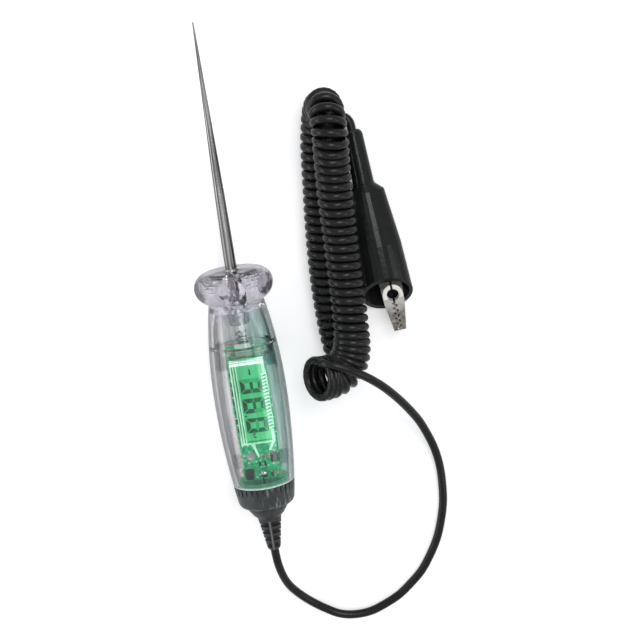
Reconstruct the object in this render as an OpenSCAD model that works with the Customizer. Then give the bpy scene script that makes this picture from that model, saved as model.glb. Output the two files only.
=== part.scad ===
// Digital circuit tester: a steel probe in a clear handle with a lit voltage display,
// and a coiled lead that ends in an insulated spring clip.
// The tester lies along Y with its probe towards +Y and its display facing up.
// Z = 0 is the surface it lies on, and the origin is below the middle of the tester.

/* [Probe] */
// Length of the steel probe in front of the guard
probe_len = 111.4; // [70:0.1:140]
// Radius of the parallel shank that a probe accessory slides onto
shank_r = 2.6; // [2.2:0.05:2.8]
// Length of the parallel shank
shank_len = 9; // [6:0.5:16]
// Length of the long taper behind the point
point_len = 77; // [40:1:90]
// Radius of the probe where the long taper ends
point_base_r = 2.25; // [1.8:0.05:2.5]
// Radius of the very tip
tip_r = 0.35; // [0.2:0.05:0.8]
// Radius of the brass insert that holds the probe
insert_r = 3.3; // [3:0.1:3.6]
// Length of the brass insert
insert_len = 16; // [12:0.5:18]

/* [Handle] */
// Largest radius of the handle, which lies on the surface
belly_r = 17; // [16:0.1:17.3]
// Distance from the nose joint back to the widest place
belly_back = 23.5; // [15:0.5:30]
// Radius of the long arc in front of the widest place
front_arc = 230; // [190:5:300]
// Radius of the long arc behind the widest place
rear_arc = 345; // [320:5:600]
// Wall thickness of the clear shells
wall = 2.2; // [1.8:0.1:2.5]
// Length of the nose's spigot in the barrel
spigot_len = 4; // [3:0.5:5]
// Running gap between parts that slide into each other
fit = 0.1; // [0.05:0.01:0.15]

/* [Nose and guard] */
// Distance from the barrel joint to the middle of the guard
nose_len = 28.5; // [26:0.5:34]
// Radius of the finger guard over its lobes
guard_r = 18.1; // [17.4:0.1:19]
// Rounding of the guard's front edge, which is also its depth in front of its middle
guard_front = 6.8; // [5:0.1:8]
// Rounding of the guard's rear edge
guard_back = 8; // [7:0.1:9]
// Radius of the shallow hollows between the lobes
hollow_r = 30; // [20:1:60]
// Number of lobes on the guard
lobes = 6; // [6:2:12]
// Depth of solid plastic behind the guard's middle
nose_solid = 10; // [8:0.5:12]
// Length of the tube that guides the contact spring
guide_len = 8.5; // [6:0.5:10]

/* [End cap and strain relief] */
// Length of the end cap
cap_len = 11.5; // [10:0.1:14]
// Rounding of the end cap's rear edge
cap_round = 3; // [2:0.1:4]
// Number of grip grooves round the end cap
cap_grooves = 32; // [20:1:36]
// Length of each grip groove
groove_len = 6; // [4:0.5:7]
// Depth of each grip groove
groove_depth = 0.5; // [0.3:0.1:0.8]
// Length of the slotted strain relief
relief_len = 17.7; // [14:0.1:20]
// Radius of the strain relief at the end cap
relief_r = 5.6; // [5.2:0.1:6]
// Radius of the strain relief at the cord's exit
relief_end_r = 3.1; // [2.9:0.1:3.4]
// Length of the strain relief's flange
flange_len = 4.9; // [4:0.1:6]
// Radius of the strain relief's flange
flange_r = 9.4; // [8.4:0.1:9.5]
// Number of slots along each quarter of the strain relief
relief_slots = 4; // [3:1:5]
// Depth of the slots in the strain relief
slot_depth = 1.5; // [0.8:0.1:2]

/* [Circuit board] */
// Width of the circuit board
board_w = 18.6; // [17.6:0.1:18.8]
// Thickness of the circuit board
board_t = 1.6; // [1:0.1:1.8]
// Height of the board's upper face below the handle's axis
board_drop = 1; // [0.6:0.1:1.4]
// Gap between the ends of the barrel and of the board
board_gap = 0.5; // [0.3:0.1:1]
// Length of the board behind the display
board_tail = 18.7; // [17:0.1:22]

/* [Display] */
// Sideways place of the display's middle
lcd_x = 1.2; // [0.8:0.1:1.6]
// Width of the display glass
lcd_w = 11.4; // [11:0.1:11.6]
// Length of the display glass
lcd_len = 35.6; // [34:0.1:38]
// Distance from the nose joint to the display glass
lcd_back = 8.9; // [8.6:0.1:10]
// Thickness of the lit panel under the glass
panel_t = 2.6; // [2:0.1:3]
// Thickness of the display glass
glass_t = 2.2; // [1.6:0.1:2.4]
// Height of a digit, which stands across the handle
digit_h = 10; // [8:0.1:10.2]
// Width of a digit, which runs along the handle
digit_w = 6.9; // [5:0.1:7.2]
// Spacing of the digits
digit_pitch = 9.4; // [8.6:0.1:9.5]
// Width of a digit's outer segments
segment_w = 2; // [1:0.1:2.2]
// Width of a digit's middle segment
middle_w = 1.5; // [0.8:0.1:1.8]
// Gap between neighbouring segments
segment_gap = 0.24; // [0.15:0.01:0.4]
// Number of metal pins beside the glass
pins = 17; // [12:1:18]
// Spacing of the metal pins
pin_pitch = 1.6; // [1.3:0.1:1.7]
// Reach of the pins beyond the glass
pin_reach = 1.7; // [1.2:0.1:2]
// Spacing of the thin ribs on the display's frame
rib_pitch = 1.1; // [0.8:0.1:1.2]
// Thickness of the thin ribs
rib_t = 0.36; // [0.3:0.02:0.5]

/* [Cord] */
// Diameter of the cord
cord_d = 4; // [3:0.1:4.2]
// Outer diameter of the coiled stretch
coil_d = 16.5; // [14:0.5:16.5]

/* [Clip] */
// Distance from the clip's pivot to the tips of its jaws
jaw_len = 29; // [24:0.5:32]
// Distance from the pivot to the end of the moving jaw's lever
lever_len = 19; // [14:0.5:20]
// Height of the fixed jaw's folded channel
jaw_h = 6.6; // [6:0.1:6.8]
// Thickness of the jaws' sheet steel
sheet = 0.8; // [0.6:0.05:0.9]
// Spacing of the teeth
tooth_pitch = 2.4; // [2:0.1:3]
// Height of the teeth
tooth_h = 2; // [1:0.1:2.4]
// Number of teeth on each jaw
teeth = 5; // [3:1:5]
// Radius of the pivot pin
pin_r = 1.2; // [1:0.05:1.3]
// Radial clearance of the moving jaw on its pin
pin_gap = 0.05; // [0.03:0.01:0.08]

/* [Clip boot] */
// Length of the boot from the pivot back to its sleeve's end
boot_back = 65; // [60:1:75]
// Length of the narrow sleeve
sleeve_len = 26; // [20:1:28]
// Radius of the narrow sleeve
sleeve_r = 5; // [4.4:0.1:5.2]
// Half width of the boot at its mouth
mouth_half_w = 12.4; // [12:0.1:13]
// Half width of the boot halfway along
middle_half_w = 11.2; // [10.8:0.1:11.6]
// Half height of the boot at its mouth
mouth_half_h = 8.5; // [8.2:0.1:9.5]
// Half width of the boot at its shoulder
shoulder_half_w = 8.7; // [8.4:0.1:9]
// Half height of the boot at its shoulder
shoulder_half_h = 6.3; // [5.8:0.1:6.3]
// Wall thickness of the boot
boot_wall = 1.6; // [1.2:0.1:1.8]

/* [Hidden] */
$fn = 64;
eps = 0.01;

// Places along the tester, built forward from the cord's exit
tail_y = -123.2;
flange_y = tail_y + relief_len;
cap_y = flange_y + flange_len;
barrel_y = cap_y + cap_len;
frame_rear = 1.9;
seam_y = barrel_y + board_gap + board_tail + frame_rear + lcd_len + lcd_back;
guard_y = seam_y + nose_len;
face_y = guard_y + guard_front;
tip_y = face_y + probe_len;
belly_y = seam_y - belly_back;
axis_h = belly_r;

// Outer radius of the handle at a place along it
function arc_sag(radius, d) = radius - sqrt(radius * radius - d * d);
function shell_r(y) = belly_r - arc_sag(y > belly_y ? front_arc : rear_arc, y - belly_y);
// Points of the handle's outline between two places, set in by a wall
function shell_line(y0, y1, inset, steps) = [
    for (i = [0 : steps]) let (y = y0 + (y1 - y0) * i / steps) [shell_r(y) - inset, y]
];

// Turns an outline of [radius, place] points round the tester's axis
module turned(points) {
    translate([0, 0, axis_h])
        rotate([-90, 0, 0])
            rotate_extrude(convexity = 6) polygon(points);
}

// Rod along the tester between two places
module rod(radius, y0, y1) {
    turned([[0, y0], [radius, y0], [radius, y1], [0, y1]]);
}

// Box on the tester given by its lowest corner and its size
module block(corner, size) {
    translate(corner) cube(size);
}

// Probe

insert_collar = 0.5;
collar_lip = 0.3;
collar_depth = 0.8;
shank_y = face_y + insert_collar;
shank_end = shank_y + shank_len;
point_y = max(tip_y - point_len, shank_end + 2);
insert_y = shank_y - insert_len;
stem_r = shank_r - 0.6;
stem_y = insert_y + 1.5;

module probe_needle() {
    color([0.62, 0.62, 0.62])
        turned([
            [0, stem_y], [stem_r, stem_y], [stem_r, shank_y], [shank_r, shank_y],
            [shank_r, shank_end], [point_base_r, point_y], [tip_r, tip_y - tip_r], [0, tip_y],
        ]);
}

// Insert with a waist that the plastic grips and a thin collar at its face
module probe_insert() {
    waist_depth = 0.35;
    waist_y = insert_y + 4;
    waist_len = 4.6;
    bore_r = stem_r + fit / 2;
    color([0.72, 0.68, 0.55])
        difference() {
            turned([
                [0, insert_y], [insert_r - 0.4, insert_y], [insert_r, insert_y + 0.4],
                [insert_r, waist_y], [insert_r - waist_depth, waist_y + 0.6],
                [insert_r - waist_depth, waist_y + waist_len - 0.6], [insert_r, waist_y + waist_len],
                [insert_r, face_y - collar_depth], [insert_r + collar_lip, face_y - collar_depth],
                [insert_r + collar_lip, shank_y - 0.2], [insert_r, shank_y], [0, shank_y],
            ]);
            rod(bore_r, stem_y, shank_y + 1);
        }
}

// Clear shells

guide_r = 4.5;
guide_bore_r = 2.9;
cavity_y = guard_y - nose_solid;
spigot_wall = 1.3;
spigot_r = shell_r(seam_y) - wall - fit;
// Where the rounded rear of the guard meets the handle's outline
guard_meet = acos((shell_r(guard_y - guard_back) - guard_r + guard_back) / guard_back);

// Hollows between the guard's lobes, each deep enough for two lobes to stand level with the belly
module guard_hollows() {
    reach = belly_r + sqrt(hollow_r * hollow_r - guard_r * guard_r + belly_r * belly_r);
    hollow_y = cavity_y + 2.6;
    intersection() {
        for (i = [0 : lobes - 1])
            translate([0, 0, axis_h])
                rotate([0, 360 / lobes * i, 0])
                    translate([0, seam_y, -reach])
                        rotate([-90, 0, 0]) cylinder(r = hollow_r, h = nose_len + guard_front + 1, $fn = 96);
        block([-2 * belly_r, hollow_y, -belly_r], [4 * belly_r, nose_len, 4 * belly_r]);
    }
}

// Short tube that plugs into the barrel
module nose_spigot() {
    inner_r = spigot_r - spigot_wall - 0.6;
    turned([
        [inner_r, seam_y - spigot_len], [spigot_r - 0.3, seam_y - spigot_len],
        [spigot_r, seam_y - spigot_len + 0.3], [spigot_r, seam_y + 1], [inner_r, seam_y + 1],
    ]);
}

module nose_shell() {
    steps = 7;
    core_r = guard_r - guard_front;
    back_r = guard_r - guard_back;
    color([0.8, 0.8, 0.84, 0.45])
        difference() {
            union() {
                turned(concat(
                    [[0, seam_y], [shell_r(seam_y), seam_y]],
                    shell_line(seam_y + 2, guard_y - guard_back * sin(guard_meet) - 0.5, 0, 5),
                    [for (i = [steps : -1 : 0]) let (a = guard_meet * i / steps)
                        [back_r + guard_back * cos(a), guard_y - guard_back * sin(a)]],
                    [for (i = [1 : steps]) let (a = 90 * i / steps)
                        [core_r + guard_front * cos(a), guard_y + guard_front * sin(a)]],
                    [[0, face_y]]
                ));
                nose_spigot();
            }
            guard_hollows();
            difference() {
                turned(concat(
                    [[0, seam_y - spigot_len - 1], [spigot_r - spigot_wall, seam_y - spigot_len - 1]],
                    [[spigot_r - spigot_wall, seam_y]],
                    shell_line(seam_y + 1.5, cavity_y - 1.5, wall, 4),
                    [[shell_r(cavity_y) - wall - 1.5, cavity_y], [0, cavity_y]]
                ));
                rod(guide_r, cavity_y - guide_len, cavity_y + 1);
            }
            rod(guide_bore_r, cavity_y - guide_len - 1, insert_y);
            rod(insert_r + fit / 2, insert_y - eps, face_y + 1);
            rod(insert_r + collar_lip + fit / 2, face_y - collar_depth, face_y + 1);
        }
}

rail_reach = 0.7;
rail_t = 1.1;
rail_len = 6;
// From the barrel's rear end to the rear rails
rail_back = 7;
board_z = axis_h - board_drop - board_t;
board_top = board_z + board_t;
// Rails above and below both edges of the board, reaching into the barrel's wall
module board_rails(y0) {
    for (side = [0, 1], z = [board_z - rail_t - fit, board_top + fit])
        intersection() {
            mirror([side, 0, 0]) block([board_w / 2 - rail_reach, y0, z], [belly_r, rail_len, rail_t]);
            rod(shell_r(y0) - wall / 2, y0 - 1, y0 + rail_len + 1);
        }
}

module barrel_shell() {
    color([0.8, 0.8, 0.84, 0.4])
        union() {
            difference() {
                turned(concat([[0, barrel_y]], shell_line(barrel_y, seam_y, 0, 12), [[0, seam_y]]));
                turned(concat(
                    [[0, barrel_y - 1], [shell_r(barrel_y) - wall, barrel_y - 1]],
                    shell_line(barrel_y, seam_y, wall, 12),
                    [[shell_r(seam_y) - wall, seam_y + 1], [0, seam_y + 1]]
                ));
            }
            board_rails(seam_y - spigot_len - 1 - rail_len);
            board_rails(barrel_y + rail_back);
        }
}

// End cap and strain relief

cap_wall = 2;
cap_spigot_r = shell_r(barrel_y) - wall - fit;
cap_spigot_wall = 1.4;
cap_spigot_len = 1.8;
gland_r = 4.2;
module end_cap() {
    round_y = cap_y + cap_round;
    inner_r = cap_spigot_r - cap_spigot_wall;
    steps = 4;
    color([0.2, 0.2, 0.21])
        difference() {
            turned(concat(
                [[0, cap_y]],
                [for (i = [0 : steps]) let (a = -90 + 90 * i / steps)
                    [shell_r(round_y) - cap_round + cap_round * cos(a), round_y + cap_round * sin(a)]],
                shell_line(round_y + 2, barrel_y, 0, 3),
                [[cap_spigot_r, barrel_y], [cap_spigot_r, barrel_y + cap_spigot_len - 0.4],
                 [cap_spigot_r - 0.4, barrel_y + cap_spigot_len], [0, barrel_y + cap_spigot_len]]
            ));
            turned([
                [0, cap_y + cap_wall], [inner_r - 1.2, cap_y + cap_wall], [inner_r, cap_y + cap_wall + 2],
                [inner_r, barrel_y + cap_spigot_len + 1], [0, barrel_y + cap_spigot_len + 1],
            ]);
            rod(gland_r + fit / 2, cap_y - 1, cap_y + cap_wall + 1);
            grip_grooves();
        }
}

// Grooves round the end cap's front, which run out towards its rear
module grip_grooves() {
    groove_w = 0.9;
    slope = 8;
    for (i = [0 : cap_grooves - 1])
        translate([0, 0, axis_h])
            rotate([0, 360 / cap_grooves * i, 0])
                translate([0, barrel_y - groove_len, shell_r(barrel_y) + 0.1])
                    rotate([-slope, 0, 0])
                        translate([-groove_w / 2, 0, -groove_depth])
                            cube([groove_w, groove_len + 2, groove_depth + 3]);
}

relief_bore_r = cord_d / 2 + 0.02;
module strain_relief() {
    color([0.12, 0.12, 0.12])
        difference() {
            turned([
                [0, tail_y], [relief_end_r - 0.6, tail_y], [relief_end_r, tail_y + 0.8],
                [relief_r, flange_y - 1.4], [flange_r - 2, flange_y + 0.4], [flange_r, cap_y - 1.4],
                [flange_r, cap_y], [gland_r, cap_y], [gland_r, cap_y + cap_wall],
                [gland_r + 1.2, cap_y + cap_wall], [gland_r + 1.2, cap_y + cap_wall + 1.5],
                [0, cap_y + cap_wall + 1.5],
            ]);
            rod(relief_bore_r, tail_y - 1, cap_y + cap_wall + 3);
            relief_slot_rows();
        }
}

// Slots in the strain relief, those below halfway between those above
module relief_slot_rows() {
    slot_pitch = (relief_len - 3.4) / relief_slots;
    slot_len = slot_pitch * 0.62;
    spine_w = 1.6;
    difference() {
        for (i = [0 : relief_slots - 1], side = [-1, 1], half = [0, 1])
            translate([side > 0 ? spine_w / 2 : -spine_w / 2 - relief_r,
                       tail_y + 1.6 + slot_pitch * (i + half * 0.5), axis_h - half * relief_r])
                cube([relief_r, slot_len, relief_r]);
        turned([
            [0, tail_y - 1], [relief_end_r - slot_depth * 0.6, tail_y - 1],
            [relief_r - slot_depth, flange_y], [0, flange_y],
        ]);
    }
}

// Contact between probe and board

board_y0 = barrel_y + board_gap;
board_y1 = seam_y - board_gap;
cup_half = 3.8;
cup_foot = 2.2;
cup_y = board_y1 - 2.3;
cup_len = 4;
cup_pocket = 2.8;
spring_wire = 0.6;
spring_r = 2.2;
spring_base_r = 3;
spring_y0 = cup_y + cup_len - cup_pocket + spring_wire / 2 + 0.05;
spring_y1 = insert_y - spring_wire / 2 - 0.05;

function unit(v) = v / norm(v);
// Smooth line through a route's points, in a number of steps from each point to the next
function spline_at(a, b, c, d, t) =
    (2 * b + (c - a) * t + (2 * a - 5 * b + 4 * c - d) * t * t + (3 * b - a - 3 * c + d) * t * t * t) / 2;
function smooth(route, steps) = let (last = len(route) - 1) concat(
    [for (i = [0 : last - 1]) for (j = [0 : steps - 1])
        spline_at(route[max(i - 1, 0)], route[i], route[i + 1], route[min(i + 2, last)], j / steps)],
    [route[last]]
);
// Direction of a line at one of its points
function heading(line, i) = unit(line[min(i + 1, len(line) - 1)] - line[max(i - 1, 0)]);
// Side vectors carried along the directions, each turned as little as it can be from the one before
function carried(dirs, side, i = 0) = i == len(dirs) ? [] : let (s = unit(side - (side * dirs[i]) * dirs[i]))
    concat([s], carried(dirs, s, i + 1));

// Round bar along a line, as rings joined by faces
module swept(line, radii, sides, start_dir, end_dir) {
    last = len(line) - 1;
    dirs = [
        for (i = [0 : last])
            i == 0 && start_dir != undef ? unit(start_dir)
                : i == last && end_dir != undef ? unit(end_dir) : heading(line, i)
    ];
    across = carried(dirs, cross(dirs[0], abs(dirs[0][2]) > 0.9 ? [1, 0, 0] : [0, 0, 1]));
    rings = [
        for (i = [0 : last]) let (u = across[i], v = cross(dirs[i], u), r = radii[min(i, len(radii) - 1)])
            [for (k = [0 : sides - 1]) line[i] + r * (cos(360 * k / sides) * u + sin(360 * k / sides) * v)]
    ];
    polyhedron(
        points = [for (ring = rings) for (p = ring) p],
        faces = concat(
            [[for (k = [sides - 1 : -1 : 0]) k]],
            [for (i = [0 : last - 1]) for (k = [0 : sides - 1]) let (a = i * sides, n = (k + 1) % sides)
                [a + k, a + n, a + sides + n]],
            [for (i = [0 : last - 1]) for (k = [0 : sides - 1]) let (a = i * sides, n = (k + 1) % sides)
                [a + k, a + sides + n, a + sides + k]],
            [[for (k = [0 : sides - 1]) last * sides + k]]
        ),
        convexity = 8
    );
}

// Points of a helix along Y that narrows from one end to the other
function spring_line(y0, y1, r0, r1, turns, steps) = [
    for (i = [0 : turns * steps])
        let (t = i / (turns * steps), a = 360 * i / steps, r = r0 + (r1 - r0) * t)
            [r * cos(a), y0 + (y1 - y0) * t, axis_h + r * sin(a)]
];

module contact_spring() {
    line_r = spring_r - spring_wire / 2;
    base_line_r = spring_base_r - spring_wire / 2;
    color([0.75, 0.75, 0.76])
        swept(spring_line(spring_y0, spring_y1, base_line_r, line_r, 8, 12), [spring_wire / 2], 6);
}

module spring_cup() {
    half_h = cup_half - 0.2;
    color([0.92, 0.93, 0.9])
        difference() {
            union() {
                block([-cup_half, cup_y, axis_h - half_h], [cup_half * 2, cup_len, half_h * 2]);
                block([-cup_half, cup_y - cup_foot, board_top], [cup_half * 2, cup_foot + eps, cup_foot]);
            }
            rod(spring_base_r + fit, cup_y + cup_len - cup_pocket, cup_y + cup_len + 1);
        }
}

// Circuit board and what is soldered to it

module circuit_board() {
    corner = 1;
    notch_half = cup_half + 0.15;
    color([0.05, 0.42, 0.24])
        difference() {
            block([-board_w / 2, board_y0, board_z], [board_w, board_y1 - board_y0, board_t]);
            for (side = [-1, 1])
                translate([side * (board_w / 2), board_y1, board_z - 1])
                    rotate([0, 0, 45]) cube([corner * 1.4, corner * 1.4, 10], center = true);
            block([-notch_half, cup_y - 0.1, board_z - 1], [2 * notch_half, 5, board_t + 2]);
            for (hole = [[-6.6, board_y0 + 3], [6.4, board_y0 + 3]])
                translate([hole[0], hole[1], board_z - 1]) cylinder(d = 1.6, h = board_t + 2);
        }
}

panel_rim = 0.9;
lcd_y1 = seam_y - lcd_back;
lcd_y0 = lcd_y1 - lcd_len;
lcd_x0 = lcd_x - lcd_w / 2;
lcd_x1 = lcd_x + lcd_w / 2;
glass_z = board_top + panel_t;
module display_panel() {
    color([0.85, 0.97, 0.85])
        block([lcd_x0, lcd_y0 - panel_rim, board_top], [lcd_w, lcd_len + panel_rim, panel_t]);
}

bar_w = 1.1;
bar_gap = 0.2;
bezel_h = panel_t + glass_t + 0.3;
tray_h = 1.2;
ribs = 3;
ribs_w = (ribs - 1) * rib_pitch + rib_t;
// Tray round the display with a bright front bar and thin ribs, open on the side of the pins
module display_frame() {
    x0 = lcd_x0 - bar_gap - ribs_w;
    front_y = lcd_y1 + bar_gap;
    end_x = lcd_x1 + pin_reach - 0.4;
    color([0.93, 0.97, 0.93])
        union() {
            // Thin ribs on the tray's long side
            block([x0, lcd_y0 - frame_rear, board_top], [ribs_w, lcd_len + frame_rear + bar_gap + 0.1, tray_h]);
            for (i = [0 : ribs - 1])
                block([x0 + i * rib_pitch, lcd_y0 - frame_rear, board_top],
                      [rib_t, lcd_len + frame_rear + bar_gap + 0.1, bezel_h]);
            // Front bar with two thin ribs in front of it
            block([x0, front_y, board_top], [end_x - x0, bar_w, bezel_h]);
            block([x0, front_y, board_top], [end_x - x0, bar_w + 2 * rib_pitch * 0.8, tray_h]);
            for (i = [1, 2])
                block([x0, front_y + bar_w - rib_t + i * rib_pitch * 0.8, board_top],
                      [end_x - x0, rib_t, bezel_h]);
            // Rear rib
            block([x0, lcd_y0 - frame_rear, board_top], [end_x - x0, rib_t, bezel_h]);
            block([x0, lcd_y0 - frame_rear, board_top], [end_x - x0, frame_rear - panel_rim - 0.1, tray_h]);
            // Short rails in front of the pins and behind them
            block([lcd_x1 + 0.1, pin_y1 + 1, board_top], [end_x - lcd_x1 - 0.1, front_y - pin_y1 - 0.9, bezel_h]);
            block([lcd_x1 + 0.1, lcd_y0 - frame_rear, board_top],
                  [end_x - lcd_x1 - 0.1, pin_y0 - 1 - lcd_y0 + frame_rear, bezel_h]);
        }
}

module display_glass() {
    color([0.62, 0.86, 0.66])
        block([lcd_x0, lcd_y0, glass_z], [lcd_w, lcd_len, glass_t]);
}

digit_t = 0.12;
ghost_t = 0.06;
// Outer segment along a digit's top, mitred at both ends
module end_segment(t) {
    x = digit_w / 2 - segment_gap;
    y = digit_h / 2;
    linear_extrude(t)
        polygon([[-x, y], [x, y], [x - segment_w, y - segment_w], [-x + segment_w, y - segment_w]]);
}

// Outer segment on the upper right of a digit
module side_segment(t) {
    x = digit_w / 2;
    y = digit_h / 2 - segment_gap;
    low = segment_gap / 2;
    linear_extrude(t)
        polygon([
            [x, y], [x, low], [x - segment_w / 2, low],
            [x - segment_w, middle_w / 2 + segment_gap], [x - segment_w, y - segment_w],
        ]);
}

// Segment across a digit's middle, pointed at both ends
module middle_segment(t) {
    x = digit_w / 2 - segment_w / 2 - segment_gap;
    half = middle_w / 2;
    linear_extrude(t)
        polygon([[-x, 0], [half - x, half], [x - half, half], [x, 0], [x - half, -half], [half - x, -half]]);
}

// One segment by its place in the usual order: top, upper right, lower right, bottom, lower left, upper left, middle
module segment(i, t) {
    if (i == 0) end_segment(t);
    if (i == 1) side_segment(t);
    if (i == 2) mirror([0, 1, 0]) side_segment(t);
    if (i == 3) mirror([0, 1, 0]) end_segment(t);
    if (i == 4) rotate([0, 0, 180]) side_segment(t);
    if (i == 5) mirror([1, 0, 0]) side_segment(t);
    if (i == 6) middle_segment(t);
}

// Segments lit for each numeral
numerals = [
    [1, 1, 1, 1, 1, 1, 0], [0, 1, 1, 0, 0, 0, 0], [1, 1, 0, 1, 1, 0, 1], [1, 1, 1, 1, 0, 0, 1],
    [0, 1, 1, 0, 0, 1, 1], [1, 0, 1, 1, 0, 1, 1], [1, 0, 1, 1, 1, 1, 1], [1, 1, 1, 0, 0, 0, 0],
    [1, 1, 1, 1, 1, 1, 1], [1, 1, 1, 1, 0, 1, 1],
];
reading = [3, 6, 0];
digits_y = lcd_y1 - 9.8;
// Segments of the reading that are either dark or unlit
module reading_segments(state, t) {
    for (d = [0 : len(reading) - 1], i = [0 : 6])
        if (numerals[reading[d]][i] == state)
            translate([lcd_x, digits_y - digit_pitch * d, 0])
                rotate([0, 0, -90]) segment(i, t);
}

mark_w = 0.55;
module display_digits() {
    minus = [0.7, 2.9];
    unit_y = digits_y - digit_pitch * 2 - digit_w / 2 - 1.4;
    color([0.05, 0.16, 0.1])
        translate([0, 0, glass_z + glass_t]) {
            reading_segments(1, digit_t);
            translate([lcd_x - minus[0] / 2, digits_y + digit_w / 2 + 1.5, 0])
                cube([minus[0], minus[1], digit_t]);
            // Decimal point
            translate([lcd_x - digit_h / 2 + 0.6, digits_y - digit_pitch * 1.5, 0])
                cylinder(r = 0.5, h = digit_t, $fn = 24);
            // Two strokes of the unit mark
            for (side = [-1, 1])
                translate([lcd_x - 2.6, unit_y + side * 0.35, 0])
                    rotate([0, 0, side * 24]) translate([0, -mark_w / 2, 0]) cube([1.7, mark_w, digit_t]);
        }
}

module display_ghosts() {
    color([0.3, 0.6, 0.4])
        translate([0, 0, glass_z + glass_t]) reading_segments(0, ghost_t);
}

pin_strip = [0.6, 0.35];
pin_span = (pins - 1) * pin_pitch;
pin_y0 = (lcd_y0 + lcd_y1 - pin_span) / 2;
pin_y1 = pin_y0 + pin_span;
module display_pins() {
    arm_z = panel_t + glass_t * 0.45;
    lip = 0.6;
    color([0.86, 0.88, 0.86])
        for (i = [0 : pins - 1])
            translate([lcd_x1 + fit / 2, pin_y0 + pin_pitch * i - pin_strip[0] / 2, board_top]) {
                translate([0, 0, arm_z]) cube([pin_reach, pin_strip[0], pin_strip[1]]);
                translate([pin_reach - pin_strip[1], 0, 0]) cube([pin_strip[1], pin_strip[0], arm_z + eps]);
                translate([0, 0, arm_z]) cube([pin_strip[1], pin_strip[0], panel_t + glass_t - arm_z]);
                translate([-lip, 0, panel_t + glass_t]) cube([lip + pin_strip[1], pin_strip[0], pin_strip[1]]);
            }
}

// Places along the board behind the display, as a share of that length from the board's rear end
function tail_at(share) = board_y0 + board_tail * share;
module panel_legs() {
    top_y = lcd_y0 - frame_rear - 0.05;
    leg_top = [1.1, 0.35, panel_t];
    leg_foot = [0.7, 0.6, 0.7];
    color([0.9, 0.95, 0.9])
        // Each leg's sideways place at its top and foot, and its foot's place along the board
    for (leg = [[-3.3, -1, 0.58], [7, 4.8, 0.74]])
            hull() {
                block([leg[0], top_y - leg_top[1], board_top], leg_top);
                block([leg[1], tail_at(leg[2]), board_top], leg_foot);
            }
}

module indicator_leds() {
    color([0.95, 0.9, 0.85])
        for (x = [-7.1, 7.1])
            translate([x, board_y1 - 2.4, board_top]) {
                translate([-0.8, -1.6, 0]) cube([1.6, 3.2, 0.7]);
                translate([0, 0, 0.7]) intersection() {
                    sphere(r = 0.75, $fn = 24);
                    translate([-1, -1, 0]) cube(2);
                }
            }
}

// Flat package with a row of legs along both long sides
module flat_chip(size, legs, pitch) {
    leg = [0.9, 0.4, 0.18];
    translate([-size[0] / 2, -size[1] / 2, leg[2]]) cube(size);
    for (side = [-1, 1])
        for (i = [0 : legs - 1])
            translate([side * (size[0] / 2 + leg[0] / 2 - 0.1), (i - (legs - 1) / 2) * pitch, 0]) {
                translate([-leg[0] / 2, -leg[1] / 2, 0]) cube(leg);
                translate([side > 0 ? -leg[0] / 2 : 0.05, -leg[1] / 2, 0]) cube([0.4, leg[1], 0.9]);
            }
}

module controller_chip() {
    color([0.1, 0.1, 0.1])
        translate([-6.2, tail_at(0.17), board_top]) flat_chip([3.4, 5, 1.3], 5, 0.9);
}

module regulator_chip() {
    color([0.13, 0.13, 0.13])
        translate([6.5, tail_at(0.55), board_top])
            rotate([0, 0, 90]) flat_chip([4.2, 3.4, 1.2], 3, 1.05);
}

module ring_capacitor() {
    color([0.8, 0.82, 0.8])
        translate([-4.3, tail_at(0.64), board_top])
            difference() {
                cylinder(r = 2, h = 1.6);
                translate([0, 0, 1]) cylinder(r = 1.2, h = 1);
            }
}

// Two-pole part with a metal cap at each end
module two_pole(length, width, height) {
    translate([-width / 2, -length / 2, 0]) cube([width, length, height]);
}

// Places of the two-pole parts: a column beside the display and a few behind it
column_w = 1.1;
column_x = lcd_x0 - bar_gap - ribs_w - 0.15 - column_w / 2;
column_pitch = 4.4;
resistor_places = concat(
    [for (i = [0 : 6]) [column_x, lcd_y1 - 5 - i * column_pitch]],
    [[-0.6, tail_at(0.4)], [1.7, tail_at(0.4)], [4.3, tail_at(0.1)]]
);
module chip_resistors() {
    color([0.08, 0.08, 0.08])
        for (p = resistor_places)
            translate([p[0], p[1], board_top]) two_pole(2, column_w, 0.5);
}

capacitor_places = [
    [-5.4, board_y1 - 3.2], [2, tail_at(0.6)], [3.5, tail_at(0.6)], [6.1, tail_at(0.14)], [7.9, tail_at(0.14)],
];
module chip_capacitors() {
    color([0.72, 0.6, 0.42])
        for (p = capacitor_places)
            translate([p[0], p[1], board_top]) two_pole(2, 1.2, 0.9);
}

joint_y = tail_at(0.13);
joint_r = 2.2;
joint_sink = 0.9;
module solder_joint() {
    color([0.85, 0.86, 0.84])
        translate([0.6, joint_y, board_top])
            intersection() {
                translate([0, 0, -joint_sink]) sphere(r = joint_r, $fn = 32);
                translate([-joint_r, -joint_r, 0]) cube(2 * joint_r);
            }
}

// The stretch of cord inside the handle, with its bared conductor on the solder
module cord_tail() {
    jacket_y = barrel_y - 4;
    color([0.08, 0.08, 0.08])
        union() {
            rod(cord_d / 2, tail_y + 0.2, jacket_y);
            rod(0.45, jacket_y - 1, joint_y - joint_r + 0.3);
        }
}

// Cord

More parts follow.
